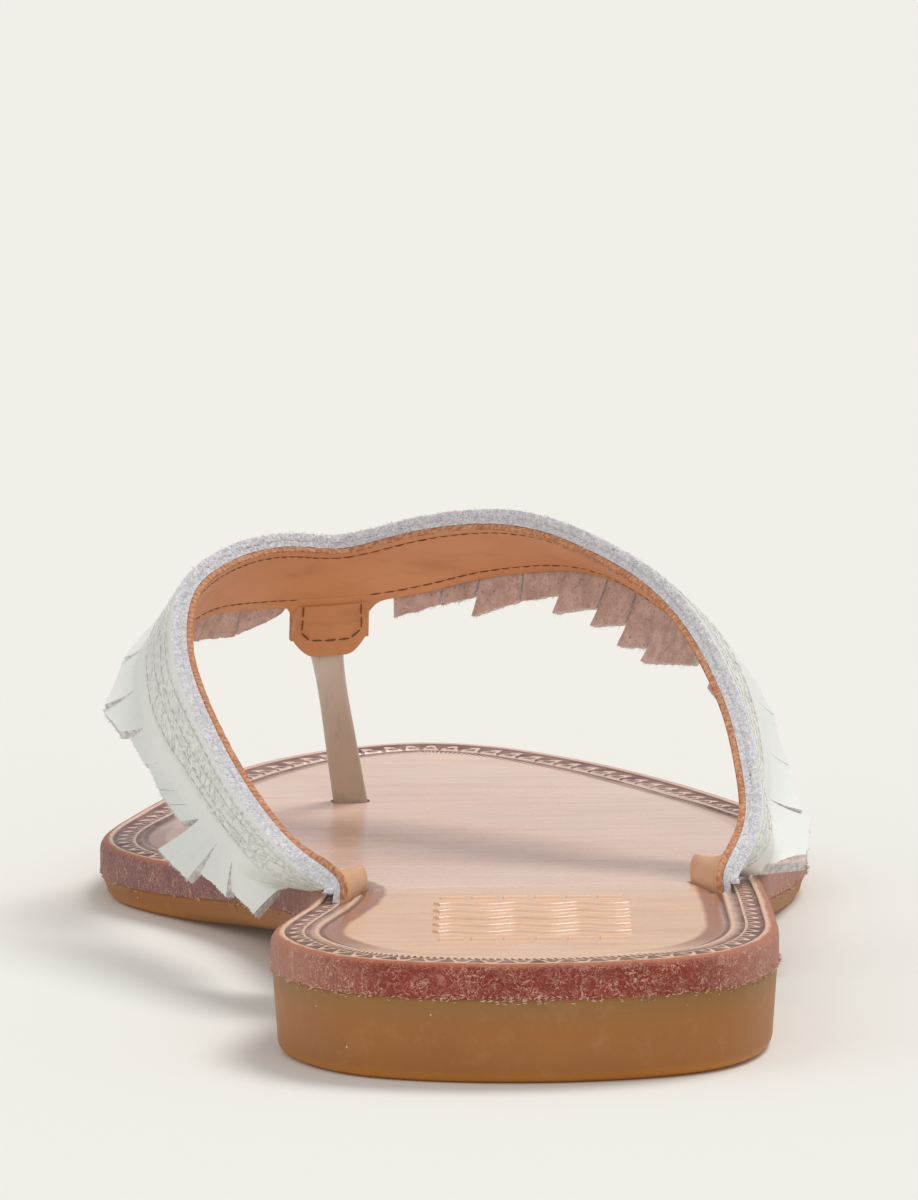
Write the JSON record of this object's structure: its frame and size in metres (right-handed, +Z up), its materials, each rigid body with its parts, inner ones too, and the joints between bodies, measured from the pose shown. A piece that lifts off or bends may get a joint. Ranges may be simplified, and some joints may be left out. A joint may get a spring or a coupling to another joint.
{
  "type": "fringed thong sandal",
  "caption": "Flat leather thong sandal, right foot: a fringed V strap through slots in a thick footbed, a slim toe post and a gum rubber sole with a low heel block.",
  "frame": {"origin": "on the floor under the centre of the heel", "axes": "+Y along the sole towards the toe, +X to the shoe's outer side, +Z up from the floor"},
  "size_m": [0.0948, 0.2539, 0.0529],
  "materials": {
    "gum_rubber": "satin",
    "footbed_leather": "satin",
    "strap_leather": "satin",
    "fringe_leather": "satin",
    "post_leather": "satin"
  },
  "bodies": {
    "root": {"outsole": "gum_rubber", "footbed": "footbed_leather", "strap": "strap_leather", "fringe": "fringe_leather", "toe_post": "post_leather"}
  },
  "joints": []
}
